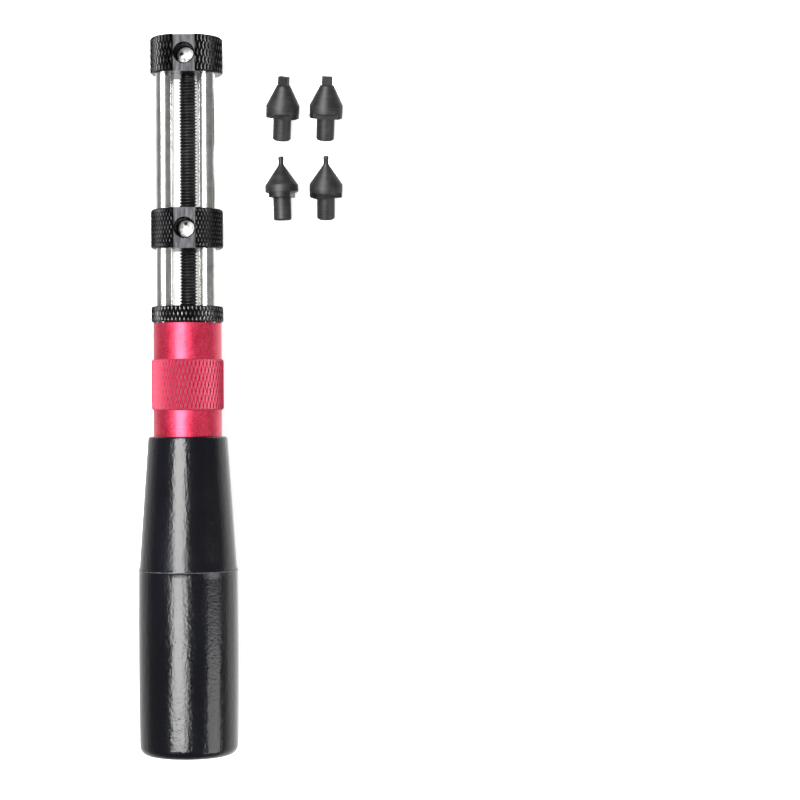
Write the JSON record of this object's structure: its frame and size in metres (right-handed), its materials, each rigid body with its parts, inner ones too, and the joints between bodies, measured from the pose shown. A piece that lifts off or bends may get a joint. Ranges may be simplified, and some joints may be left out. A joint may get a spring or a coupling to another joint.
{
  "type": "case back opener",
  "caption": "Hand tool with a plastic grip, fixed end jaw and lead-screw jaw on two rods; keyed bits lie beside it.",
  "frame": {"origin": "centre of the flat end face of the handle", "axes": "+Y along the tool from the handle's end to the end head; +Z out of the bit sockets; +X towards the loose bits"},
  "size_m": [0.0452, 0.157, 0.022],
  "materials": {
    "handle_plastic": "moulded black plastic, satin gloss with a slight ripple",
    "ferrule_red": "red anodised, satin, knurled band",
    "black_steel": "black oxide, knurled",
    "screw_steel": "black oxide, rolled thread",
    "rod_chrome": "polished",
    "magnet_nickel": "nickel plated, scuffed",
    "bit_steel": "hardened dark steel, turned"
  },
  "bodies": {
    "tool_body": {"handle": "handle_plastic", "ferrule": "ferrule_red", "collar": "black_steel", "end_head": "black_steel", "head_magnet": "magnet_nickel", "journal_set_screw": "black_steel", "guide_rod_left": "rod_chrome", "guide_rod_right": "rod_chrome"},
    "screw": {"lead_screw": "screw_steel", "thumbwheel": "black_steel"},
    "jaw": {"slider": "black_steel", "slider_magnet": "magnet_nickel"},
    "wide_bit_left": {"wide_bit_left": "bit_steel"},
    "wide_bit_right": {"wide_bit_right": "bit_steel"},
    "pin_bit_left": {"pin_bit_left": "bit_steel"},
    "pin_bit_right": {"pin_bit_right": "bit_steel"}
  },
  "joints": [
    {"name": "screw_spin", "type": "hinge", "parent": "tool_body", "child": "screw", "pos_m": [0, 0.09255, -0.00342], "axis": [0, -1, 0], "range_deg": [-6120, 14760]},
    {"name": "jaw_slide", "type": "slide", "parent": "tool_body", "child": "jaw", "axis": [0, 1, 0], "range_m": [-0.0119, 0.0287]},
    {"name": "wide_bit_left_lift", "type": "slide", "parent": "tool_body", "child": "wide_bit_left", "axis": [0, 0, 1], "range_m": [0, 0.03]},
    {"name": "wide_bit_right_lift", "type": "slide", "parent": "tool_body", "child": "wide_bit_right", "axis": [0, 0, 1], "range_m": [0, 0.03]},
    {"name": "pin_bit_left_lift", "type": "slide", "parent": "tool_body", "child": "pin_bit_left", "axis": [0, 0, 1], "range_m": [0, 0.03]},
    {"name": "pin_bit_right_lift", "type": "slide", "parent": "tool_body", "child": "pin_bit_right", "axis": [0, 0, 1], "range_m": [0, 0.03]}
  ],
  "couplings": [
    {"joint": "screw_spin", "follows": "jaw_slide", "rad_per_m": 8976}
  ]
}
